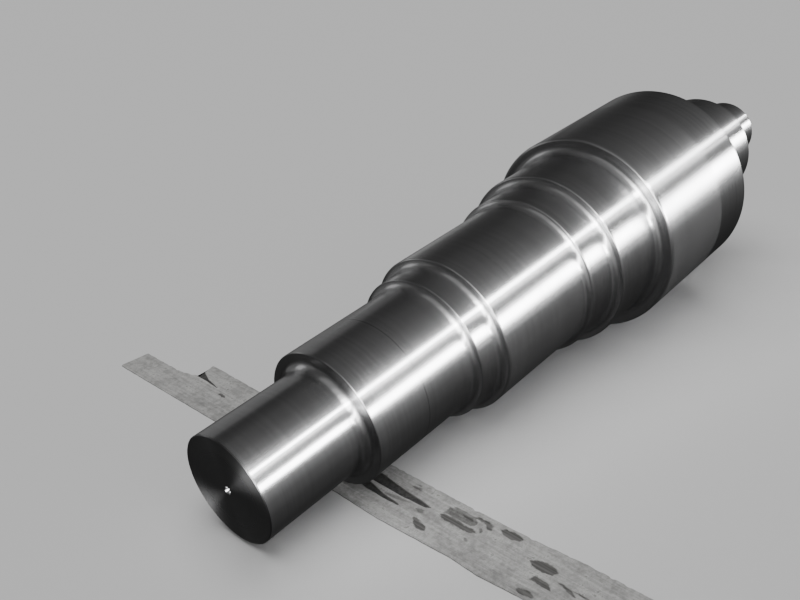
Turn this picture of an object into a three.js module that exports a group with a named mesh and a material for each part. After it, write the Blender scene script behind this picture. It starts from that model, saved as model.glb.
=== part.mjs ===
// Rough-turned one-piece forging of a steam turbine rotor, lying nose down on a thin timber board.
// Millimetres, +Z up, +X from the small front journal to the body end, origin under the middle
// of the bounding box on the floor.
import * as THREE from 'three';

// ---- rotor profile: stations along the axis from the front end face, and radii ----
const FRONT_JOURNAL_R = 160;
const COLLAR_AT = 340;
const COLLAR_R = 206;
const RING_AT = 743;
const RING_R = 231;
const SEAT_AT = 834;
const SEAT_R = 258.5;
const SHORT_SEAT_AT = 1258;
const SHORT_SEAT_R = 278;
const SHOULDER_AT = 1389;
const SHOULDER_R = 309;
const BODY_AT = 1616;
const BODY_R = 360;
const BODY_END = 2182;
const REAR_SEAT_R = 213;
const REAR_SEAT_END = 2557;
const REAR_JOURNAL_R = 122;
const ROTOR_LENGTH = 2797;

// ---- corner fillets and the rounds that break the outer edges ----
const FILLET = 25;
const WIDE_FILLET = 28;
const END_BREAK = 2.5;
const COLLAR_BREAK = 3;
const SEAT_BREAK = 5;
const SHOULDER_BREAK = 6;
const BODY_BREAK = 9;
const TURN_SEGMENTS = 64;
const FILLET_STEPS = 5;

// ---- centre holes in both end faces ----
const CENTRE_MOUTH_R = 13;
const CENTRE_PILOT_R = 5;
const CENTRE_CONE_DEPTH = 14;
const CENTRE_PILOT_DEPTH = 26;
const CENTRE_TIP_DEPTH = 29;

// ---- timber board under the collar, its worn edges as [x, y] from below the front face ----
const BOARD_THICK = 6;
const NEAR_EDGE = [
  [312, 1000], [314, 480], [319, -40], [315, -215], [326, -450], [321, -540], [330, -650], [333, -1000],
];
const FAR_EDGE = [
  [534, -1000], [531, -700], [521, -600], [516, -500], [513, -300], [514, -80], [517, 510], [521, 700],
];
// one corner is broken off at the end of a long split along the grain
const BROKEN_CORNER = [
  [520, 757], [470, 740], [452, 695], [439, 632], [443, 700], [444, 757], [424, 812], [422, 1000],
];
// two splits open below the collar
const SPLITS = [
  [[402, -40], [415, -90], [400, -150], [393, -218], [388, -214], [387, -100]],
  [[445, -30], [463, -90], [450, -190], [447, -250], [439, -292], [431, -278], [425, -200], [425, -90]],
];
const SEAT_GAP = 0.3;

// Adds a step up at station x: fillet in the corner, flat shoulder if there is room, rounded edge.
function stepUp(profile, x, small, large, fillet, edge) {
  const rise = Math.min(fillet, large - small - edge);
  const sweep = Math.acos(1 - rise / fillet);
  const reach = fillet * Math.sin(sweep);
  for (let i = 0; i <= FILLET_STEPS; i += 1) {
    const a = (i / FILLET_STEPS) * sweep;
    profile.push([x - reach + fillet * Math.sin(a), small + fillet * (1 - Math.cos(a))]);
  }
  if (large - edge - small - rise > 0.01) {
    profile.push([x, large - edge]);
  }
  profile.push([x + edge * (1 - Math.SQRT1_2), large - edge * (1 - Math.SQRT1_2)]);
  profile.push([x + edge, large]);
}

// Adds a step down at station x, the mirror of stepUp.
function stepDown(profile, x, large, small, fillet, edge) {
  const mirrored = [];
  stepUp(mirrored, -x, small, large, fillet, edge);
  for (const [at, r] of mirrored.reverse()) {
    profile.push([-at, r]);
  }
}

function rotorProfile() {
  const p = [];
  // front end face with its centre hole
  p.push([CENTRE_TIP_DEPTH, 0]);
  p.push([CENTRE_PILOT_DEPTH, CENTRE_PILOT_R]);
  p.push([CENTRE_CONE_DEPTH, CENTRE_PILOT_R]);
  p.push([0, CENTRE_MOUTH_R]);
  p.push([0, FRONT_JOURNAL_R - END_BREAK]);
  p.push([END_BREAK, FRONT_JOURNAL_R]);
  stepUp(p, COLLAR_AT, FRONT_JOURNAL_R, COLLAR_R, WIDE_FILLET, COLLAR_BREAK);
  stepUp(p, RING_AT, COLLAR_R, RING_R, FILLET, COLLAR_BREAK);
  stepUp(p, SEAT_AT, RING_R, SEAT_R, FILLET, SEAT_BREAK);
  stepUp(p, SHORT_SEAT_AT, SEAT_R, SHORT_SEAT_R, FILLET, SEAT_BREAK);
  stepUp(p, SHOULDER_AT, SHORT_SEAT_R, SHOULDER_R, FILLET, SHOULDER_BREAK);
  stepUp(p, BODY_AT, SHOULDER_R, BODY_R, WIDE_FILLET, BODY_BREAK);
  stepDown(p, BODY_END, BODY_R, REAR_SEAT_R, WIDE_FILLET, BODY_BREAK);
  stepDown(p, REAR_SEAT_END, REAR_SEAT_R, REAR_JOURNAL_R, WIDE_FILLET, SEAT_BREAK);
  // rear end face, the same centre hole in it
  p.push([ROTOR_LENGTH - END_BREAK, REAR_JOURNAL_R]);
  p.push([ROTOR_LENGTH, REAR_JOURNAL_R - END_BREAK]);
  p.push([ROTOR_LENGTH, CENTRE_MOUTH_R]);
  p.push([ROTOR_LENGTH - CENTRE_CONE_DEPTH, CENTRE_PILOT_R]);
  p.push([ROTOR_LENGTH - CENTRE_PILOT_DEPTH, CENTRE_PILOT_R]);
  p.push([ROTOR_LENGTH - CENTRE_TIP_DEPTH, 0]);
  return p.map(([x, r]) => new THREE.Vector2(r, x));
}

// The forging touches the board with the collar's front edge and the floor with the body's.
// Both edges are facets of the turned surface, so their depth is the facet's.
const FACET = Math.cos(Math.PI / TURN_SEGMENTS);

function noseDownAngle() {
  const span = (BODY_AT + BODY_BREAK) - (COLLAR_AT + COLLAR_BREAK);
  const drop = (BODY_R - COLLAR_R) * FACET;
  const reach = Math.hypot(span, drop);
  return Math.atan2(drop, span) - Math.asin((BOARD_THICK + SEAT_GAP) / reach);
}

function rotorForging(tilt) {
  const geometry = new THREE.LatheGeometry(rotorProfile(), TURN_SEGMENTS, Math.PI / TURN_SEGMENTS);
  geometry.rotateZ(-Math.PI / 2);
  geometry.rotateY(-tilt);
  const bodyEdge = BODY_AT + BODY_BREAK;
  geometry.translate(0, 0, BODY_R * FACET * Math.cos(tilt) - bodyEdge * Math.sin(tilt));
  return geometry;
}

function points(outline) {
  return outline.map(([x, y]) => new THREE.Vector2(x, y));
}

// The board is sawn flat; the splits go right through it.
function bearerBoard() {
  const outline = new THREE.Shape(points([...NEAR_EDGE, ...FAR_EDGE, ...BROKEN_CORNER]));
  for (const split of SPLITS) {
    outline.holes.push(new THREE.Path(points(split)));
  }
  return new THREE.ExtrudeGeometry(outline, { depth: BOARD_THICK, bevelEnabled: false });
}

const turnedSteel = new THREE.MeshStandardMaterial({ color: 0x8f9193, roughness: 0.28, metalness: 1 });
turnedSteel.name = 'turned_steel';
const timber = new THREE.MeshStandardMaterial({ color: 0x8b867d, roughness: 0.85, metalness: 0 });
timber.name = 'weathered_timber';

const tilt = noseDownAngle();
const rotor = new THREE.Mesh(rotorForging(tilt), turnedSteel);
rotor.name = 'rotor_forging';
const board = new THREE.Mesh(bearerBoard(), timber);
board.name = 'bearer_board';

const part = new THREE.Group();
part.name = 'steam_turbine_rotor';
part.add(rotor, board);

// Bring the middle of the bounding box over the origin, with the floor at z = 0.
const box = new THREE.Box3().setFromObject(part);
for (const mesh of part.children) {
  mesh.geometry.translate(-(box.min.x + box.max.x) / 2, -(box.min.y + box.max.y) / 2, -box.min.z);
}

export default part;
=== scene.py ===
"""Steam turbine rotor forging, finish-turned and unbladed, lying nose down on a thin worn board."""
import math

import bmesh
import bpy
from mathutils import Matrix, Vector, noise


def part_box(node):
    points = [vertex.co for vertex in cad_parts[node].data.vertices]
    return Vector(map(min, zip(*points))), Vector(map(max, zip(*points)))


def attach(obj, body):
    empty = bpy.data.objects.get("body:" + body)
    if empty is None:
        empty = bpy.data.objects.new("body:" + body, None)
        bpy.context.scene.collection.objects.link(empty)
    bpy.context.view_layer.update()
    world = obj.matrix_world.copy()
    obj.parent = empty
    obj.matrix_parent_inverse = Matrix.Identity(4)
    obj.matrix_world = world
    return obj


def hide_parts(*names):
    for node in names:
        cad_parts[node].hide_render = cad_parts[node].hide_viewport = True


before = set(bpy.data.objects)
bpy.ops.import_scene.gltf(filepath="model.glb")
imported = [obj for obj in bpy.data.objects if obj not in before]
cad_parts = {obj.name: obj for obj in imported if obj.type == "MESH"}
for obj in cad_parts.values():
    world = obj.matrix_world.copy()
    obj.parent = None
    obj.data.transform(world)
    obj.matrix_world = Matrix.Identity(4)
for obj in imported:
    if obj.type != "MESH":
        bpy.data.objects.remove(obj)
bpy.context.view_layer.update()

# ---- the rotor's profile, metres along its axis from the front end face ----
FRONT_JOURNAL_R = 0.160
COLLAR_AT, COLLAR_R = 0.340, 0.206
RING_AT, RING_R = 0.743, 0.231
SEAT_AT, SEAT_R = 0.834, 0.2585
SHORT_SEAT_AT, SHORT_SEAT_R = 1.258, 0.278
SHOULDER_AT, SHOULDER_R = 1.389, 0.309
BODY_AT, BODY_R, BODY_END = 1.616, 0.360, 2.182
REAR_SEAT_R, REAR_SEAT_END = 0.213, 2.557
REAR_JOURNAL_R, ROTOR_LENGTH = 0.122, 2.797
GROOVE_AT, GROOVE_WIDTH, GROOVE_DEPTH = 0.538, 0.003, 0.0003

# ---- the centre hole in both end faces ----
CENTRE_MOUTH_R, CENTRE_PILOT_R = 0.013, 0.005
CENTRE_CONE_DEPTH, CENTRE_PILOT_DEPTH, CENTRE_TIP_DEPTH = 0.014, 0.026, 0.029

# ---- corner fillets and the rounds that break the outer edges ----
FILLET, WIDE_FILLET = 0.025, 0.028
END_BREAK, COLLAR_BREAK, SEAT_BREAK = 0.0025, 0.003, 0.005
SHOULDER_BREAK, BODY_BREAK = 0.006, 0.009

# The CAD solid is turned in facets; the smooth surface runs along their middles.
CAD_FACETS = 64
FACET = math.cos(math.pi / CAD_FACETS)

# The forging lies on two edges: the collar's front edge just above the board, the body's at
# floor height. That sets its tilt and the height of its axis at the front end face.
BOARD_THICK, SEAT_GAP = 0.006, 0.0003
SPAN = (BODY_AT + BODY_BREAK) - (COLLAR_AT + COLLAR_BREAK)
DROP = (BODY_R - COLLAR_R) * FACET
TILT = math.atan2(DROP, SPAN) - math.asin((BOARD_THICK + SEAT_GAP) / math.hypot(SPAN, DROP))
AXIS_HEIGHT = BODY_R * FACET * math.cos(TILT) - (BODY_AT + BODY_BREAK) * math.sin(TILT)

rotor_low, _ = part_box("rotor_forging")
FRONT_X = rotor_low.x + (FRONT_JOURNAL_R - END_BREAK) * FACET * math.sin(TILT)
AXIS_FRAME = (Matrix.Translation((FRONT_X, 0, AXIS_HEIGHT))
              @ Matrix.Rotation(-TILT, 4, "Y"))

# ---- the turned mesh ----
TURNING_STEPS = 256
FORGING_CREASE, BOARD_CREASE = math.radians(40), math.radians(50)
MERGE_WITHIN = 1e-5
# A point this far outside each fillet, round or groove keeps the plain seats truly straight.
KEEP = 0.0015

BLACK = (0.0, 0.0, 0.0, 1)


def camera():
    """A level standing view across the journal end, as in the photograph."""
    data = bpy.data.cameras.new("camera")
    data.sensor_width = 36.0
    data.lens = 40.5
    data.clip_end = 80.0
    cam = bpy.data.objects.new("camera", data)
    cam.location = (-2.4299, -1.5224, 1.5864)
    cam.rotation_euler = [math.radians(a) for a in (63.602, 0.411, -48.164)]
    bpy.context.collection.objects.link(cam)
    bpy.context.scene.camera = cam


camera()


# ---------- the turned forging ----------

def step_up(p, x, small, large, fillet, edge, steps=12, edge_steps=4):
    """Fillet in the corner, flat shoulder where there is room, rounded outer edge."""
    rise = min(fillet, large - small - edge)
    sweep = math.acos(1 - rise / fillet)
    reach = fillet * math.sin(sweep)
    p.append((x - reach - KEEP, small))
    for i in range(steps + 1):
        a = i / steps * sweep
        p.append((x - reach + fillet * math.sin(a), small + fillet * (1 - math.cos(a))))
    start = 0 if large - edge - small - rise > 1e-5 else 1
    for i in range(start, edge_steps + 1):
        a = i / edge_steps * math.pi / 2
        p.append((x + edge * (1 - math.cos(a)), large - edge * (1 - math.sin(a))))
    p.append((x + edge + KEEP, large))


def step_down(p, x, large, small, fillet, edge):
    """The mirror of step_up."""
    mirrored = []
    step_up(mirrored, -x, small, large, fillet, edge)
    p += [(-at, r) for at, r in reversed(mirrored)]


def groove(p, x, r, width, depth):
    """A fine scribed groove turned into a plain seat."""
    p += [(x - width / 2 - KEEP, r), (x - width / 2, r), (x, r - depth)]
    p += [(x + width / 2, r), (x + width / 2 + KEEP, r)]


def rotor_profile():
    """Station and radius of every point from the front centre hole to the rear one."""
    p = [(CENTRE_TIP_DEPTH, 0.0), (CENTRE_PILOT_DEPTH, CENTRE_PILOT_R),
         (CENTRE_CONE_DEPTH, CENTRE_PILOT_R), (0.0, CENTRE_MOUTH_R)]
    p += [(0.0, FRONT_JOURNAL_R - END_BREAK), (END_BREAK, FRONT_JOURNAL_R)]
    step_up(p, COLLAR_AT, FRONT_JOURNAL_R, COLLAR_R, WIDE_FILLET, COLLAR_BREAK)
    groove(p, GROOVE_AT, COLLAR_R, GROOVE_WIDTH, GROOVE_DEPTH)
    step_up(p, RING_AT, COLLAR_R, RING_R, FILLET, COLLAR_BREAK)
    step_up(p, SEAT_AT, RING_R, SEAT_R, FILLET, SEAT_BREAK)
    step_up(p, SHORT_SEAT_AT, SEAT_R, SHORT_SEAT_R, FILLET, SEAT_BREAK)
    step_up(p, SHOULDER_AT, SHORT_SEAT_R, SHOULDER_R, FILLET, SHOULDER_BREAK)
    step_up(p, BODY_AT, SHOULDER_R, BODY_R, WIDE_FILLET, BODY_BREAK)
    step_down(p, BODY_END, BODY_R, REAR_SEAT_R, WIDE_FILLET, BODY_BREAK)
    step_down(p, REAR_SEAT_END, REAR_SEAT_R, REAR_JOURNAL_R, WIDE_FILLET, SEAT_BREAK)
    end = ROTOR_LENGTH
    p += [(end - END_BREAK, REAR_JOURNAL_R), (end, REAR_JOURNAL_R - END_BREAK)]
    p += [(end, CENTRE_MOUTH_R), (end - CENTRE_CONE_DEPTH, CENTRE_PILOT_R),
          (end - CENTRE_PILOT_DEPTH, CENTRE_PILOT_R), (end - CENTRE_TIP_DEPTH, 0.0)]
    return p


def turning_tree():
    """Geometry nodes that turn a half profile into a closed solid about the X axis."""
    tree = bpy.data.node_groups.new("turned solid", "GeometryNodeTree")
    face = tree.interface
    face.new_socket("Solid", in_out="OUTPUT", socket_type="NodeSocketGeometry")
    face.new_socket("Half Profile", in_out="INPUT", socket_type="NodeSocketGeometry")
    face.new_socket("Turning Steps", in_out="INPUT", socket_type="NodeSocketInt")
    face.new_socket("Crease Angle", in_out="INPUT", socket_type="NodeSocketFloat")
    face.new_socket("Steel", in_out="INPUT", socket_type="NodeSocketMaterial")
    link = tree.links.new

    def node(kind, **settings):
        n = tree.nodes.new(kind)
        for key, value in settings.items():
            setattr(n, key, value)
        return n

    # a grid with one row for each profile point, one column more than the turning steps
    given = node("NodeGroupInput")
    size = node("GeometryNodeAttributeDomainSize")
    link(given.outputs["Half Profile"], size.inputs[0])
    columns = node("ShaderNodeMath", operation="ADD")
    link(given.outputs["Turning Steps"], columns.inputs[0])
    columns.inputs[1].default_value = 1
    grid = node("GeometryNodeMeshGrid")
    link(size.outputs["Point Count"], grid.inputs["Vertices X"])
    link(columns.outputs[0], grid.inputs["Vertices Y"])

    # each grid point looks up its profile point and how far that is along the profile
    index = node("GeometryNodeInputIndex")
    row = node("FunctionNodeIntegerMath", operation="DIVIDE_FLOOR")
    column = node("FunctionNodeIntegerMath", operation="MODULO")
    for n in (row, column):
        link(index.outputs[0], n.inputs[0])
        link(columns.outputs[0], n.inputs[1])
    on_profile = node("GeometryNodeSampleIndex", data_type="FLOAT_VECTOR")
    link(given.outputs["Half Profile"], on_profile.inputs["Geometry"])
    link(node("GeometryNodeInputPosition").outputs[0], on_profile.inputs["Value"])
    link(row.outputs[0], on_profile.inputs["Index"])
    half = node("ShaderNodeSeparateXYZ")
    link(on_profile.outputs[0], half.inputs[0])
    run_name = node("GeometryNodeInputNamedAttribute", data_type="FLOAT")
    run_name.inputs["Name"].default_value = "run"
    run = node("GeometryNodeSampleIndex", data_type="FLOAT")
    link(given.outputs["Half Profile"], run.inputs["Geometry"])
    link(run_name.outputs[0], run.inputs["Value"])
    link(row.outputs[0], run.inputs["Index"])

    # and is turned about the axis by its column's share of a full turn
    part_turn = node("ShaderNodeMath", operation="DIVIDE")
    link(column.outputs[0], part_turn.inputs[0])
    link(given.outputs["Turning Steps"], part_turn.inputs[1])
    angle = node("ShaderNodeMath", operation="MULTIPLY")
    link(part_turn.outputs[0], angle.inputs[0])
    angle.inputs[1].default_value = 2 * math.pi
    place = node("ShaderNodeCombineXYZ")
    link(half.outputs["X"], place.inputs["X"])
    for wave, axis in (("SINE", "Y"), ("COSINE", "Z")):
        trig = node("ShaderNodeMath", operation=wave)
        link(angle.outputs[0], trig.inputs[0])
        arm = node("ShaderNodeMath", operation="MULTIPLY")
        link(trig.outputs[0], arm.inputs[0])
        link(half.outputs["Z"], arm.inputs[1])
        link(arm.outputs[0], place.inputs[axis])
    turned = node("GeometryNodeSetPosition")
    link(grid.outputs["Mesh"], turned.inputs["Geometry"])
    link(place.outputs[0], turned.inputs["Position"])

    # the unrolled surface is kept as a UV map, then seam and poles are closed
    flat = node("ShaderNodeCombineXYZ")
    link(run.outputs[0], flat.inputs["X"])
    link(part_turn.outputs[0], flat.inputs["Y"])
    per_point = node("GeometryNodeFieldOnDomain", data_type="FLOAT_VECTOR", domain="POINT")
    link(flat.outputs[0], per_point.inputs[0])
    unrolled = node("GeometryNodeStoreNamedAttribute", data_type="FLOAT2", domain="CORNER")
    unrolled.inputs["Name"].default_value = "unrolled"
    link(turned.outputs[0], unrolled.inputs["Geometry"])
    link(per_point.outputs[0], unrolled.inputs["Value"])
    closed = node("GeometryNodeMergeByDistance")
    closed.inputs["Distance"].default_value = MERGE_WITHIN
    link(unrolled.outputs[0], closed.inputs["Geometry"])

    smooth = node("GeometryNodeSetShadeSmooth", domain="FACE")
    link(closed.outputs[0], smooth.inputs["Geometry"])
    bend = node("GeometryNodeInputMeshEdgeAngle")
    sharp = node("FunctionNodeCompare", data_type="FLOAT", operation="GREATER_THAN")
    link(bend.outputs["Unsigned Angle"], sharp.inputs[0])
    link(given.outputs["Crease Angle"], sharp.inputs[1])
    creased = node("GeometryNodeSetShadeSmooth", domain="EDGE")
    creased.inputs["Shade Smooth"].default_value = False
    link(smooth.outputs[0], creased.inputs["Geometry"])
    link(sharp.outputs[0], creased.inputs["Selection"])
    real = node("GeometryNodeRealizeInstances")
    link(creased.outputs[0], real.inputs[0])
    finish = node("GeometryNodeSetMaterial")
    link(real.outputs[0], finish.inputs["Geometry"])
    link(given.outputs["Steel"], finish.inputs["Material"])
    out = node("NodeGroupOutput")
    link(finish.outputs[0], out.inputs[0])
    return tree


def set_input(modifier, name, value):
    """Sets a tree's input by its socket's identifier."""
    for item in modifier.node_group.interface.items_tree:
        if item.item_type == "SOCKET" and item.in_out == "INPUT" and item.name == name:
            modifier[item.identifier] = value


def applied(obj, name):
    """The evaluated shape as a plain mesh in a new object at the origin."""
    depsgraph = bpy.context.evaluated_depsgraph_get()
    mesh = bpy.data.meshes.new_from_object(obj.evaluated_get(depsgraph),
                                           preserve_all_data_layers=True, depsgraph=depsgraph)
    mesh.name = name
    bpy.data.objects.remove(obj)
    result = bpy.data.objects.new(name, mesh)
    bpy.context.collection.objects.link(result)
    return result


def turned_forging(steel):
    """The forging, turned from its half profile and laid at its tilt."""
    profile = rotor_profile()
    points = [(x, 0, r * FACET) for x, r in profile]
    mesh = bpy.data.meshes.new("half profile")
    mesh.from_pydata(points, [(i, i + 1) for i in range(len(points) - 1)], [])
    run = mesh.attributes.new("run", "FLOAT", "POINT")
    length = 0.0
    for i, (x, r) in enumerate(profile):
        if i:
            length += math.hypot(x - profile[i - 1][0], r - profile[i - 1][1])
        run.data[i].value = length
    blank = bpy.data.objects.new("forging blank", mesh)
    bpy.context.collection.objects.link(blank)
    lathe = blank.modifiers.new("turning", "NODES")
    lathe.node_group = turning_tree()
    set_input(lathe, "Turning Steps", TURNING_STEPS)
    set_input(lathe, "Crease Angle", FORGING_CREASE)
    set_input(lathe, "Steel", steel)
    forging = applied(blank, "forging")
    forging.data.transform(AXIS_FRAME)
    return forging


# ---------- shared shader effects ----------

def effect(name, given, made):
    """An empty shader node group with named float inputs and one float output."""
    tree = bpy.data.node_groups.new(name, "ShaderNodeTree")
    for label, value in given:
        socket = tree.interface.new_socket(label, in_out="INPUT", socket_type="NodeSocketFloat")
        socket.default_value = value
    tree.interface.new_socket(made, in_out="OUTPUT", socket_type="NodeSocketFloat")
    return tree, tree.nodes.new("NodeGroupInput"), tree.nodes.new("NodeGroupOutput")


class Bench:
    """Short ways to add and join shader nodes in one tree."""

    def __init__(self, tree):
        self.tree = tree

    def node(self, kind, **settings):
        n = self.tree.nodes.new(kind)
        for key, value in settings.items():
            setattr(n, key, value)
        return n

    def put(self, value, socket):
        """Links an output to a socket, or sets the socket to a plain value."""
        if isinstance(value, bpy.types.NodeSocket):
            self.tree.links.new(value, socket)
        else:
            socket.default_value = value

    def math(self, operation, a, b=0.0, c=0.0):
        n = self.node("ShaderNodeMath", operation=operation)
        for value, socket in zip((a, b, c), n.inputs):
            self.put(value, socket)
        return n.outputs[0]

    def ramp(self, value, low, high, out_low=0.0, out_high=1.0, smooth=True):
        """Maps low to high on out_low to out_high, held at both ends."""
        n = self.node("ShaderNodeMapRange")
        n.interpolation_type = "SMOOTHSTEP" if smooth else "LINEAR"
        for v, key in ((value, "Value"), (low, "From Min"), (high, "From Max"),
                       (out_low, "To Min"), (out_high, "To Max")):
            self.put(v, n.inputs[key])
        return n.outputs["Result"]

    def noise(self, vector, scale, detail=3.0, rough=0.5):
        n = self.node("ShaderNodeTexNoise")
        self.put(vector, n.inputs["Vector"])
        n.inputs["Scale"].default_value = scale
        n.inputs["Detail"].default_value = detail
        n.inputs["Roughness"].default_value = rough
        return n.outputs["Fac"]

    def vector(self, x, y, z):
        n = self.node("ShaderNodeCombineXYZ")
        for value, socket in zip((x, y, z), n.inputs):
            self.put(value, socket)
        return n.outputs[0]

    def mix(self, factor, a, b):
        """Blends two colours; inputs 6 and 7 and output 2 are the node's colour sockets."""
        n = self.node("ShaderNodeMix", data_type="RGBA", clamp_factor=False)
        self.put(factor, n.inputs[0])
        self.put(a, n.inputs[6])
        self.put(b, n.inputs[7])
        return n.outputs[2]

    def place(self, tree, **values):
        """Adds a shared effect; an underscore in a keyword stands for a space."""
        n = self.node("ShaderNodeGroup", node_tree=tree)
        for key, value in values.items():
            self.put(value, n.inputs[key.replace("_", " ")])
        return n


def turning_marks():
    """Rings left by the tool: noise that is long round the work and short along it."""
    tree, given, made = effect("turning marks",
                               [("Run", 0.0), ("Turn", 0.0),
                                ("Rings per Metre", 300.0), ("Wander", 0.4)], "Marks")
    b = Bench(tree)
    angle = b.math("MULTIPLY", given.outputs["Turn"], 2 * math.pi)
    wander = given.outputs["Wander"]
    y = b.math("MULTIPLY", b.math("SINE", angle), wander)
    z = b.math("MULTIPLY", b.math("COSINE", angle), wander)
    x = b.math("MULTIPLY", given.outputs["Run"], given.outputs["Rings per Metre"])
    marks = b.noise(b.vector(x, y, z), 1.0, 2.0, 0.6)
    b.put(marks, made.inputs["Marks"])
    return tree


def turned_band():
    """A mask that is 1 between two stations along the shaft, with soft ends."""
    tree, given, made = effect("turned band",
                               [("Station", 0.0), ("From", 0.0), ("To", 1.0),
                                ("Softness", 0.002)], "Mask")
    b = Bench(tree)
    soft = given.outputs["Softness"]
    rise = b.ramp(given.outputs["Station"], b.math("SUBTRACT", given.outputs["From"], soft),
                  b.math("ADD", given.outputs["From"], soft))
    fall = b.ramp(given.outputs["Station"], b.math("SUBTRACT", given.outputs["To"], soft),
                  b.math("ADD", given.outputs["To"], soft), 1.0, 0.0)
    b.put(b.math("MULTIPLY", rise, fall), made.inputs["Mask"])
    return tree


TURNING_MARKS = turning_marks()
TURNED_BAND = turned_band()


def material(name):
    """A new material, a bench for its nodes and its main shader."""
    m = bpy.data.materials.new(name)
    m.use_nodes = True
    return m, Bench(m.node_tree), m.node_tree.nodes["Principled BSDF"]


STEEL = (0.56, 0.56, 0.565, 1)
# The look of the front end face fades out between these stations, on its chamfer.
FACE_FROM, FACE_TO = 0.0024, 0.003
# Where the tool left a coarser or a finer surface: two stations, change in roughness.
FINISH = [(0.374, 0.734, 0.035), (0.843, 1.230, 0.01), (1.038, 1.054, 0.035),
          (1.078, 1.088, 0.035), (1.510, 1.548, 0.02), (1.628, 1.695, 0.045),
          (1.695, 1.985, 0.03), (1.985, 2.180, -0.02)]
# Painted sheen: low on both flanks the steel is made less metallic, standing in for light from the
# floor below: two stations, how much.
FLOOR_SHEEN_BANDS = [(0.843, 1.236, 0.012), (1.628, 1.985, 0.03)]
# Painted shade: the flat shoulders and the scribed groove are made darker in colour: station, soft
# edge, how much.
PAINTED_SHADE_BANDS = [(COLLAR_AT, 0.0016, 0.45), (BODY_AT, 0.0016, 0.25), (GROOVE_AT + 0.001, 0.001, 0.4)]


def turned_steel():
    """Bare steel with rings round the work, so its mirror image is drawn out across them."""
    m, b, shader = material("turned steel")
    unrolled = b.node("ShaderNodeUVMap", uv_map="unrolled")
    flat = b.node("ShaderNodeSeparateXYZ")
    b.put(unrolled.outputs[0], flat.inputs[0])
    run, turn = flat.outputs["X"], flat.outputs["Y"]
    here = b.node("ShaderNodeTexCoord").outputs["Object"]
    on_axis = b.node("ShaderNodeMapping", vector_type="TEXTURE")
    b.put(here, on_axis.inputs["Vector"])
    on_axis.inputs["Location"].default_value = (FRONT_X, 0, AXIS_HEIGHT)
    on_axis.inputs["Rotation"].default_value = (0, -TILT, 0)
    along = b.node("ShaderNodeSeparateXYZ")
    b.put(on_axis.outputs[0], along.inputs[0])
    station = along.outputs["X"]

    def rings(per_metre, wander):
        return b.place(TURNING_MARKS, Run=run, Turn=turn, Rings_per_Metre=per_metre,
                       Wander=wander).outputs[0]

    def band(start, end, soft=0.002):
        return b.place(TURNED_BAND, Station=station, From=start, To=end, Softness=soft).outputs[0]

    fine, broad = rings(420.0, 0.15), rings(60.0, 0.12)
    rough = b.ramp(fine, 0.3, 0.7, 0.215, 0.226)
    rough = b.math("ADD", rough, b.ramp(broad, 0.3, 0.7, -0.005, 0.005))
    for start, end, change in FINISH:
        rough = b.math("ADD", rough, b.math("MULTIPLY", band(start, end), change))
    # the end face is cut coarser towards its rim
    radius = b.math("SQRT", b.math("ADD", b.math("POWER", along.outputs["Y"], 2.0),
                                   b.math("POWER", along.outputs["Z"], 2.0)))
    faced = b.ramp(station, FACE_FROM, FACE_TO, 1.0, 0.0)
    face_rough = b.ramp(radius, 0.02, 0.17, -0.065, 0.135, smooth=False)
    rough = b.math("ADD", rough, b.math("MULTIPLY", faced, face_rough))

    smear = b.noise(here, 3.2, 4.0, 0.55)
    tone = b.ramp(smear, 0.35, 0.7, 0.93, 1.03)
    tone = b.math("MULTIPLY", tone, b.ramp(fine, 0.3, 0.7, 0.98, 1.02))
    tone = b.math("MULTIPLY", tone, b.ramp(broad, 0.3, 0.7, 0.96, 1.04))
    # painted shade: the end face and its chamfer are made darker in colour
    tone = b.math("MULTIPLY", tone, b.ramp(station, FACE_FROM, FACE_TO, 0.5, 1.0))
    # painted shade darkens the flat shoulders and the groove
    for at, soft, share in PAINTED_SHADE_BANDS:
        darker = b.math("MULTIPLY", band(at - 2 * soft, at + 0.3 * soft, soft), share)
        tone = b.math("MULTIPLY", tone, b.math("SUBTRACT", 1.0, darker))
    b.put(b.mix(tone, BLACK, STEEL), shader.inputs["Base Color"])
    b.put(rough, shader.inputs["Roughness"])

    low_flank = b.ramp(b.math("DIVIDE", along.outputs["Z"], radius), 0.45, 0.05)
    metal = 1.0
    # painted sheen: less metal low on the flanks, for light from the floor below
    for start, end, sheen_share in FLOOR_SHEEN_BANDS:
        floor_sheen = b.math("MULTIPLY", b.math("MULTIPLY", band(start, end), low_flank), sheen_share)
        metal = b.math("SUBTRACT", metal, floor_sheen)
    b.put(metal, shader.inputs["Metallic"])

    shader.inputs["Anisotropic"].default_value = 0.92
    grain = b.node("ShaderNodeTangent", direction_type="UV_MAP", uv_map="unrolled")
    b.put(grain.outputs[0], shader.inputs["Tangent"])
    bump = b.node("ShaderNodeBump")
    bump.inputs["Strength"].default_value = 0.006
    bump.inputs["Distance"].default_value = 0.0006
    b.put(b.math("ADD", fine, broad), bump.inputs["Height"])
    b.put(bump.outputs[0], shader.inputs["Normal"])
    return m


# ---------- the worn board ----------

# All in metres, x from below the front end face and y from the shaft.
# The two long edges, each point as y and the edge's x there.
NEAR_EDGE = [(-1.000, 0.333), (-0.650, 0.330), (-0.540, 0.321), (-0.450, 0.326),
             (-0.215, 0.315), (-0.040, 0.319), (0.480, 0.314), (1.000, 0.312)]
FAR_EDGE = [(-1.000, 0.534), (-0.700, 0.531), (-0.600, 0.521), (-0.500, 0.516), (-0.300, 0.513),
            (-0.080, 0.514), (0.510, 0.517), (0.700, 0.521), (0.740, 0.520)]
# From BROKEN_AT on, past the broken-off corner, only a tongue as far as this edge is left.
BROKEN_AT = 0.740
TONGUE_EDGE = [(0.740, 0.444), (0.757, 0.444), (0.812, 0.424), (1.000, 0.422)]
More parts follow.
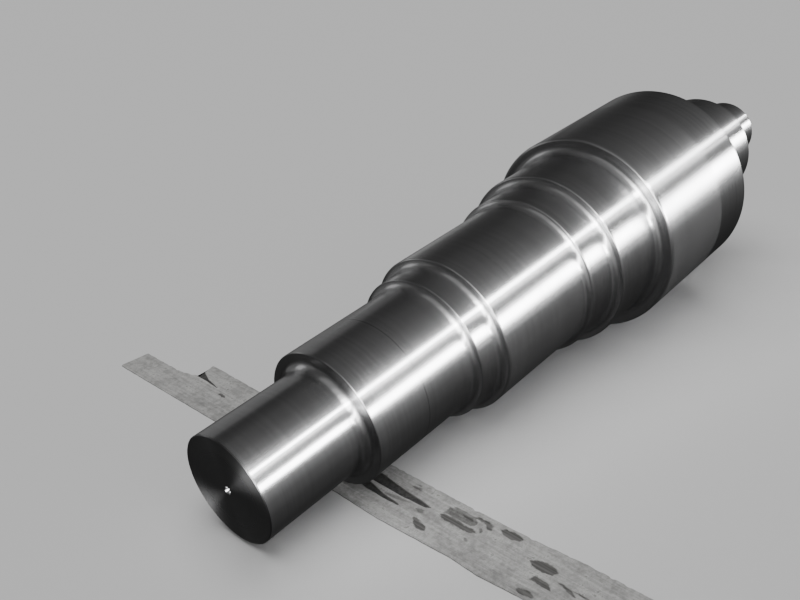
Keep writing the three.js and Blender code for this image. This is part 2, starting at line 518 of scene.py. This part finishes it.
# Splits down to a near-black bottom, painted for dirt and for the shade in them; the last one runs
# out at the broken-off corner. Points as x and y.
SPLITS = [[(0.402, -0.040), (0.415, -0.090), (0.400, -0.150), (0.393, -0.218), (0.388, -0.214),
           (0.387, -0.100)],
          [(0.445, -0.030), (0.463, -0.090), (0.450, -0.190), (0.447, -0.250), (0.439, -0.292),
           (0.431, -0.278), (0.425, -0.200), (0.425, -0.090)],
          [(0.471, 0.742), (0.452, 0.695), (0.439, 0.632), (0.443, 0.700), (0.444, 0.742)]]
# Worn patches: how bare each is, then its outline, points as x and y.
PATCHES = [(0.9, [(0.383, -0.281), (0.385, -0.290), (0.378, -0.312), (0.366, -0.335),
                  (0.356, -0.340), (0.353, -0.328), (0.356, -0.305), (0.368, -0.290)]),
           (0.6, [(0.410, -0.258), (0.420, -0.268), (0.419, -0.285), (0.409, -0.291),
                  (0.403, -0.280)]),
           (0.9, [(0.436, -0.326), (0.446, -0.335), (0.444, -0.400), (0.447, -0.430),
                  (0.438, -0.447), (0.428, -0.430), (0.424, -0.380), (0.425, -0.340)]),
           (0.62, [(0.446, -0.330), (0.478, -0.328), (0.488, -0.345), (0.492, -0.370),
                   (0.488, -0.410), (0.470, -0.430), (0.450, -0.420), (0.445, -0.380)]),
           (0.9, [(0.468, -0.378), (0.478, -0.372), (0.482, -0.390), (0.476, -0.415),
                  (0.464, -0.412), (0.462, -0.395)]),
           (0.8, [(0.486, -0.405), (0.494, -0.415), (0.497, -0.440), (0.490, -0.465),
                  (0.476, -0.470), (0.470, -0.458), (0.482, -0.445)]),
           (0.7, [(0.460, -0.438), (0.468, -0.445), (0.452, -0.458), (0.444, -0.452)]),
           (0.9, [(0.490, -0.488), (0.504, -0.494), (0.509, -0.520), (0.506, -0.545),
                  (0.496, -0.555), (0.484, -0.548), (0.477, -0.525), (0.480, -0.500)]),
           (0.9, [(0.449, -0.607), (0.462, -0.620), (0.471, -0.645), (0.468, -0.670),
                  (0.455, -0.686), (0.440, -0.680), (0.431, -0.655), (0.436, -0.622)]),
           (0.8, [(0.345, -0.628), (0.355, -0.640), (0.357, -0.670), (0.350, -0.688),
                  (0.342, -0.680), (0.337, -0.655)]),
           (0.8, [(0.392, -0.640), (0.412, -0.648), (0.414, -0.665), (0.406, -0.690),
                  (0.394, -0.705), (0.390, -0.680)]),
           (0.7, [(0.428, -0.700), (0.433, -0.715), (0.428, -0.745), (0.415, -0.760),
                  (0.412, -0.750), (0.422, -0.725)]),
           (0.7, [(0.429, -0.745), (0.434, -0.760), (0.430, -0.795), (0.424, -0.780)]),
           (0.7, [(0.478, -0.196), (0.486, -0.198), (0.487, -0.222), (0.479, -0.230),
                  (0.474, -0.212)]),
           (0.5, [(0.492, -0.197), (0.499, -0.205), (0.497, -0.218), (0.491, -0.214)]),
           (0.5, [(0.496, -0.232), (0.506, -0.238), (0.500, -0.244)]),
           (0.55, [(0.392, -0.441), (0.406, -0.433), (0.408, -0.438), (0.396, -0.450)]),
           (0.5, [(0.402, -0.150), (0.412, -0.160), (0.420, -0.190), (0.422, -0.240),
                  (0.412, -0.232), (0.404, -0.200)]),
           (0.8, [(0.417, 0.598), (0.427, 0.598), (0.426, 0.570), (0.420, 0.562),
                  (0.415, 0.575)]),
           (0.25, [(0.455, 0.590), (0.490, 0.590), (0.500, 0.560), (0.480, 0.535),
                   (0.450, 0.545)]),
           (0.2, [(0.388, 0.760), (0.398, 0.755), (0.398, 0.700), (0.388, 0.690)])]


# Rows of the board's mesh up to the broken corner and past it; columns up to the line where
# the corner broke off and past that line.
WHOLE_ROWS, TONGUE_ROWS = 696, 104
TONGUE_COLUMNS, CORNER_COLUMNS = 50, 30
BREAK_X = 0.444
BOARD_END = 1.0
# The broken corner's end slants: how steeply, and from which x and y it sets in.
BREAK_SLANT, SLANT_X, SLANT_Y = 0.34, 0.470, 0.60
# How far the top lies under the CAD board's, how much its grain rises and falls from there,
# and how deep the worn patches are.
TOP_UNDER, GRAIN_RISE, PATCH_DEEP = 0.0002, 0.00025, 0.0014
# How far the arrises are worn down, and how far in from the edge that reaches.
ARRIS_DROP, ARRIS_WIDE = 0.0020, 0.006
# The height of the splits' near-black bottom, and the lowest the top may go.
SPLIT_FLOOR, LOWEST = 0.0015, 0.0006


def clamped(value):
    return max(0.0, min(1.0, value))


def ripple(x, y, layer):
    """Smooth noise between -1 and 1; every use has a layer of its own."""
    return noise.noise(Vector((x, y, layer)))


def evenly(start, end, count):
    """Equally spaced values from start to end, both included."""
    return [start + (end - start) * i / count for i in range(count + 1)]


def edge_x(edge, y):
    """The edge's x at one y, on straight lines between its points."""
    for (y0, x0), (y1, x1) in zip(edge, edge[1:]):
        if y <= y1:
            return x0 + (x1 - x0) * (y - y0) / (y1 - y0)
    return edge[-1][1]


def depth_inside(outline, x, y, margin=0.006):
    """Distance in from an outline's edge, in metres; negative outside it."""
    xs, ys = zip(*outline)
    if not (min(xs) - margin < x < max(xs) + margin and min(ys) - margin < y < max(ys) + margin):
        return -margin
    nearest, inside = margin * 10, False
    for (x0, y0), (x1, y1) in zip(outline, outline[1:] + outline[:1]):
        dx, dy = x1 - x0, y1 - y0
        t = clamped(((x - x0) * dx + (y - y0) * dy) / (dx * dx + dy * dy))
        nearest = min(nearest, math.hypot(x - x0 - t * dx, y - y0 - t * dy))
        if (y0 > y) != (y1 > y) and x < x0 + (y - y0) / dy * dx:
            inside = not inside
    return nearest if inside else -nearest


def worn_surface(x, y):
    """How deep a split is and how bare the timber is at one place, both 0 to 1."""
    wander = 0.003 * ripple(x * 30, y * 18, 1.7)
    crumbs = noise.fractal(Vector((x * 90, y * 40, 4.0)), 0.5, 2.0, 3)
    fibre = 0.0016 * ripple(x * 110, y * 24, 8.3)
    split = max(depth_inside(s, x + wander * 0.4 + fibre, y) for s in SPLITS)
    bare = max(clamped(depth_inside(p, x + wander, y) / 0.005 + 0.45 + 0.7 * crumbs) * bareness
               for bareness, p in PATCHES)
    return clamped(split / 0.003 + 0.5), bare


def top_row(bm, bare, row_y, on_tongue):
    """The points across the board's top at one row, or across the tongue past the corner."""
    x0 = edge_x(NEAR_EDGE, row_y) + abs(0.0022 * ripple(7.0, row_y * 28, 0.3))
    wear = abs(0.003 * ripple(2.0, row_y * 22, 5.1))
    wear += 0.010 * max(0.0, ripple(9.0, row_y * 45, 2.2) - 0.12)
    if on_tongue:
        wear *= clamped((row_y - BROKEN_AT) / 0.02)
        x1 = edge_x(TONGUE_EDGE, row_y) - wear
        across = evenly(x0, x1, TONGUE_COLUMNS)
    else:
        x1 = edge_x(FAR_EDGE, row_y) - wear
        across = evenly(x0, BREAK_X, TONGUE_COLUMNS) + evenly(BREAK_X, x1, CORNER_COLUMNS)[1:]
    slant = BREAK_SLANT * clamped((row_y - SLANT_Y) / (BROKEN_AT - SLANT_Y))
    row = []
    for x in across:
        y = row_y + slant * max(0.0, x - SLANT_X)
        split, worn = worn_surface(x, y)
        grain = ripple(x * 240, y * 6, 0.0)
        arris = ARRIS_DROP * max(0.0, 1 - min(x - x0, x1 - x) / ARRIS_WIDE) ** 2
        z = BOARD_THICK - TOP_UNDER - GRAIN_RISE * (1 + grain) - arris
        z -= (BOARD_THICK - SPLIT_FLOOR) * split + PATCH_DEEP * worn * (1 - split)
        v = bm.verts.new((x + FRONT_X, y, max(z, LOWEST)))
        v[bare] = max(split * 2.0, worn)
        row.append(v)
    return row


def worn_board(timber):
    """The board with its worn edges, splits, bare patches, raised grain and broken corner."""
    bm = bmesh.new()
    bare = bm.verts.layers.float.new("bare")
    rows = [top_row(bm, bare, y, False) for y in evenly(-BOARD_END, BROKEN_AT, WHOLE_ROWS)]
    rows += [top_row(bm, bare, y, True) for y in evenly(BROKEN_AT, BOARD_END, TONGUE_ROWS)[1:]]

    def foot(v):
        return bm.verts.new((v.co.x, v.co.y, 0.0))

    feet = [(foot(row[0]), foot(row[-1])) for row in rows]
    break_foot = foot(rows[WHOLE_ROWS][TONGUE_COLUMNS])
    for j, (row, beyond) in enumerate(zip(rows, rows[1:])):
        width = len(beyond) - 1
        near, far = feet[j]
        if j == WHOLE_ROWS:
            far = break_foot
        for i in range(width):
            bm.faces.new((row[i], row[i + 1], beyond[i + 1], beyond[i]))
        bm.faces.new((near, row[0], beyond[0], feet[j + 1][0]))
        bm.faces.new((row[width], far, feet[j + 1][1], beyond[width]))
        # the underside's last face before the broken corner turns at the tongue's edge
        turn = [break_foot] if j == WHOLE_ROWS - 1 else []
        bm.faces.new([far, near, feet[j + 1][0], *turn, feet[j + 1][1]])
    bm.faces.new([*feet[0], *rows[0][::-1]])
    bm.faces.new([feet[-1][1], feet[-1][0], *rows[-1]])
    bm.faces.new([feet[WHOLE_ROWS][1], break_foot, *rows[WHOLE_ROWS][TONGUE_COLUMNS:]])
    bmesh.ops.recalc_face_normals(bm, faces=bm.faces)
    for f in bm.faces:
        f.smooth = True
    mesh = bpy.data.meshes.new("worn board")
    bm.to_mesh(mesh)
    bm.free()
    mesh.set_sharp_from_angle(angle=BOARD_CREASE)
    mesh.materials.append(timber)
    obj = bpy.data.objects.new("worn_board", mesh)
    bpy.context.collection.objects.link(obj)
    return obj


def weathered_timber():
    """Greyed timber: grain, fibres and blotches, bare patches, near-black in the splits for dirt
    and painted shade.
    """
    m, b, shader = material("weathered timber")
    here = b.node("ShaderNodeTexCoord").outputs["Object"]

    def streaks(scale, detail):
        stretched = b.node("ShaderNodeMapping")
        b.put(here, stretched.inputs["Vector"])
        stretched.inputs["Scale"].default_value = scale
        return b.noise(stretched.outputs[0], 1.0, detail, 0.6)

    grain = streaks((90.0, 3.0, 20.0), 5.0)
    fibres = streaks((420.0, 14.0, 60.0), 3.0)
    blotch = b.noise(here, 9.0, 5.0, 0.65)
    specks = b.noise(here, 85.0, 4.0, 0.65)
    bare = b.node("ShaderNodeAttribute", attribute_name="bare").outputs["Fac"]

    tone = b.ramp(grain, 0.3, 0.7, 0.84, 1.08)
    tone = b.math("MULTIPLY", tone, b.ramp(fibres, 0.25, 0.75, 0.9, 1.07))
    tone = b.math("MULTIPLY", tone, b.ramp(blotch, 0.3, 0.72, 0.68, 1.15))
    tone = b.math("MULTIPLY", tone, b.ramp(specks, 0.35, 0.65, 0.82, 1.15))
    face = b.mix(tone, BLACK, (0.335, 0.333, 0.325, 1))
    ragged = b.math("ADD", bare, b.math("MULTIPLY", b.math("SUBTRACT", specks, 0.5), 0.9))
    pits = b.math("MULTIPLY", b.ramp(specks, 0.56, 0.64), b.ramp(blotch, 0.5, 0.6))
    under = b.mix(b.ramp(grain, 0.35, 0.65), (0.045, 0.044, 0.042, 1), (0.10, 0.098, 0.095, 1))
    how_worn = b.math("MAXIMUM", b.ramp(ragged, 0.05, 0.85), b.math("MULTIPLY", pits, 0.6))
    worn = b.mix(how_worn, face, under)
    # painted shade and dirt: the splits' bottoms are near-black
    dirt_and_shade = b.mix(b.ramp(specks, 0.3, 0.7), (0.018, 0.018, 0.018, 1), (0.055, 0.054, 0.052, 1))
    b.put(b.mix(b.ramp(bare, 1.0, 1.8), worn, dirt_and_shade), shader.inputs["Base Color"])
    b.put(b.ramp(grain, 0.3, 0.7, 0.92, 0.78), shader.inputs["Roughness"])
    bump = b.node("ShaderNodeBump")
    bump.inputs["Strength"].default_value = 0.5
    bump.inputs["Distance"].default_value = 0.0015
    b.put(b.math("ADD", grain, b.math("MULTIPLY", fibres, 0.6)), bump.inputs["Height"])
    b.put(bump.outputs[0], shader.inputs["Normal"])
    return m


forging = turned_forging(turned_steel())
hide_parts("rotor_forging")
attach(forging, "root")

board = worn_board(weathered_timber())
board.visible_glossy = False
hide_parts("bearer_board")
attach(board, "root")


# ---------- floor and light ----------

FLOOR_REACH = 300.0
FLOOR_GREY = (0.55, 0.55, 0.55, 1)
BACKDROP = (0.58, 0.58, 0.58, 1)


def only_on(light, name, *objs):
    """Lets a lamp light only these objects."""
    group = bpy.data.collections.new(name)
    for obj in objs:
        group.objects.link(obj)
    light.light_linking.receiver_collection = group


def pale_floor():
    """A plain floor that the steel doesn't mirror."""
    bm = bmesh.new()
    bmesh.ops.create_grid(bm, x_segments=1, y_segments=1, size=FLOOR_REACH)
    mesh = bpy.data.meshes.new("floor")
    bm.to_mesh(mesh)
    bm.free()
    obj = bpy.data.objects.new("floor", mesh)
    bpy.context.collection.objects.link(obj)
    m, _, shader = material("pale floor")
    shader.inputs["Base Color"].default_value = FLOOR_GREY
    shader.inputs["Roughness"].default_value = 0.95
    shader.inputs["Specular IOR Level"].default_value = 0.2
    mesh.materials.append(m)
    obj.visible_glossy = False
    return obj


def long_lamp(name, from_angle, to_angle, start, end, radiance, reach=7.0):
    """A lamp parallel to the shaft, between two angles from upright towards the camera's side."""
    a = math.radians((from_angle + to_angle) / 2)
    width = 2 * reach * math.tan(math.radians((to_angle - from_angle) / 2))
    data = bpy.data.lights.new(name, "AREA")
    data.shape = "RECTANGLE"
    data.size, data.size_y = end - start, width
    data.energy = radiance * (end - start) * width * math.pi
    obj = bpy.data.objects.new(name, data)
    out = Vector((0, -math.sin(a), math.cos(a)))
    turn = Matrix((Vector((1, 0, 0)), out.cross(Vector((1, 0, 0))), out)).transposed().to_4x4()
    middle = Matrix.Translation(Vector(((start + end) / 2, 0, 0)) + out * reach)
    obj.matrix_world = AXIS_FRAME @ middle @ turn
    obj.visible_camera = False
    bpy.context.collection.objects.link(obj)
    only_on(obj, name + " lights", forging)


def soft_sun(floor):
    """Soft light from above for the floor and the board."""
    data = bpy.data.lights.new("soft daylight", "SUN")
    data.energy = 2.7
    data.angle = math.radians(60)
    obj = bpy.data.objects.new("soft daylight", data)
    obj.rotation_euler = Vector((-0.1, 0.12, 1.0)).to_track_quat("Z", "Y").to_euler()
    bpy.context.collection.objects.link(obj)
    only_on(obj, "daylight lights", floor, board)


# Every lamp has two angles, where it starts and ends along the shaft, and its radiance.
LAMPS = [("narrow strip", 42.7, 48, -30, 9.4, 24.0),
         ("narrow strip fade", 42.7, 48, 9.4, 10.4, 12.0),
         ("narrow strip dim", 42.7, 48, 10.4, 12.7, 1.2),
         ("narrow strip far", 42.7, 48, 12.7, 20, 13.5),
         ("strip edge", 50.5, 54, -12, 20, 3.2),
         ("wide strip near", 67, 74, -30, 1.2, 14.0),
         ("wide strip", 70, 80.5, 1.2, 20, 25.0),
         ("lower strip near", 77, 85, -12, 5.5, 1.2),
         ("lower strip far", 79, 86, 5.5, 20, 15.0),
         ("strip foot", 85, 95, 5.5, 9, 1.3),
         ("far side high", -84, -68, -3.6, 0.2, 0.5),
         ("far side near", -107, -58, -7, 5.8, 0.10),
         ("far side middle", -106, -93, 5.8, 8.3, 0.40),
         ("far side", -120, -93, 8.3, 10.5, 0.30),
         ("far side rear", -108, -82, 10.5, 20, 0.14)]
# Short lamps nearer to the shaft, beside the camera.
CAMERA_SIDE_REACH = 1.9
CAMERA_SIDE_LAMPS = [("glow by the camera", -22, 10, -2.6, 0.3, 0.16),
                     ("light by the camera", 10, 25, -2.6, 0.3, 0.5),
                     ("lamp edge", 25, 34, -2.6, 0.3, 2.0),
                     ("lamp by the camera", 34, 57, -2.6, 0.3, 11.0),
                     ("low lamp by the camera", 57, 84, -3.4, -0.8, 6.0),
                     ("lamp foot by the camera", 84, 93, -3.4, -0.8, 1.0)]

# Grey surroundings for the steel to mirror, by the angle in degrees round the shaft from
# upright towards the camera's side: dark above, lighter on that side, dark below.
SURROUND = [(-180, 0.035), (-145, 0.045), (-125, 0.06), (-100, 0.11), (-85, 0.10), (-65, 0.07),
            (-45, 0.055), (-5, 0.12), (15, 0.19), (28, 0.28), (57, 0.40), (95, 0.30),
            (108, 0.18), (135, 0.08), (180, 0.035)]


def studio_world():
    """The surroundings in the steel's mirror, and a plain backdrop for the camera."""
    world = bpy.data.worlds.new("studio")
    world.use_nodes = True
    b = Bench(world.node_tree)
    way = b.node("ShaderNodeSeparateXYZ")
    b.put(b.node("ShaderNodeTexCoord").outputs["Generated"], way.inputs[0])
    away = b.math("MULTIPLY", way.outputs["Y"], -1.0)
    angle = b.math("ARCTAN2", away, way.outputs["Z"])
    ramp = b.node("ShaderNodeValToRGB")
    b.put(b.math("MULTIPLY_ADD", angle, 0.5 / math.pi, 0.5), ramp.inputs["Fac"])
    stops = ramp.color_ramp.elements
    for at, grey in SURROUND:
        stop = stops[0] if at == -180 else stops[-1] if at == 180 else stops.new(0.5 + at / 360)
        stop.color = (grey, grey, grey, 1)
    x, y, z = (way.outputs[axis] for axis in "XYZ")
    # dimmer past the rear end, lighter high up behind the camera
    gain = b.math("MULTIPLY", b.ramp(x, 0.56, 0.82, 1.0, 0.6),
                  b.math("MULTIPLY_ADD", b.ramp(x, 0.1, -0.5), b.ramp(z, 0.2, 0.6, 0.0, 0.6), 1.0))
    # darker below the level of the shaft, but lighter there straight behind the camera
    below = b.math("MULTIPLY_ADD", b.ramp(x, 0.5, 0.1), b.ramp(z, 0.0, -0.25, 0.0, -0.5), 1.0)
    behind = b.math("SUBTRACT", b.ramp(z, 0.1, -0.1, 0.0, 1.8), b.ramp(z, -0.25, -0.5, 0.0, 1.3))
    below = b.math("MULTIPLY_ADD", b.ramp(x, -0.3, -0.75), behind, below)
    gain = b.math("MULTIPLY", gain, below)
    room = b.mix(gain, BLACK, ramp.outputs["Color"])
    # an even dark grey low down in front of the end face
    low = b.math("MULTIPLY", b.ramp(y, -0.25, 0.1), b.ramp(z, 0.15, -0.05))
    low = b.math("MULTIPLY", low, b.ramp(x, 0.0, -0.25))
    room = b.mix(low, room, (0.05, 0.05, 0.05, 1))
    seen = b.node("ShaderNodeLightPath").outputs["Is Camera Ray"]
    background = world.node_tree.nodes["Background"]
    b.put(b.mix(seen, room, BACKDROP), background.inputs["Color"])
    bpy.context.scene.world = world


floor = pale_floor()
soft_sun(floor)
for lamp in LAMPS:
    long_lamp(*lamp)
for lamp in CAMERA_SIDE_LAMPS:
    long_lamp(*lamp, reach=CAMERA_SIDE_REACH)
studio_world()
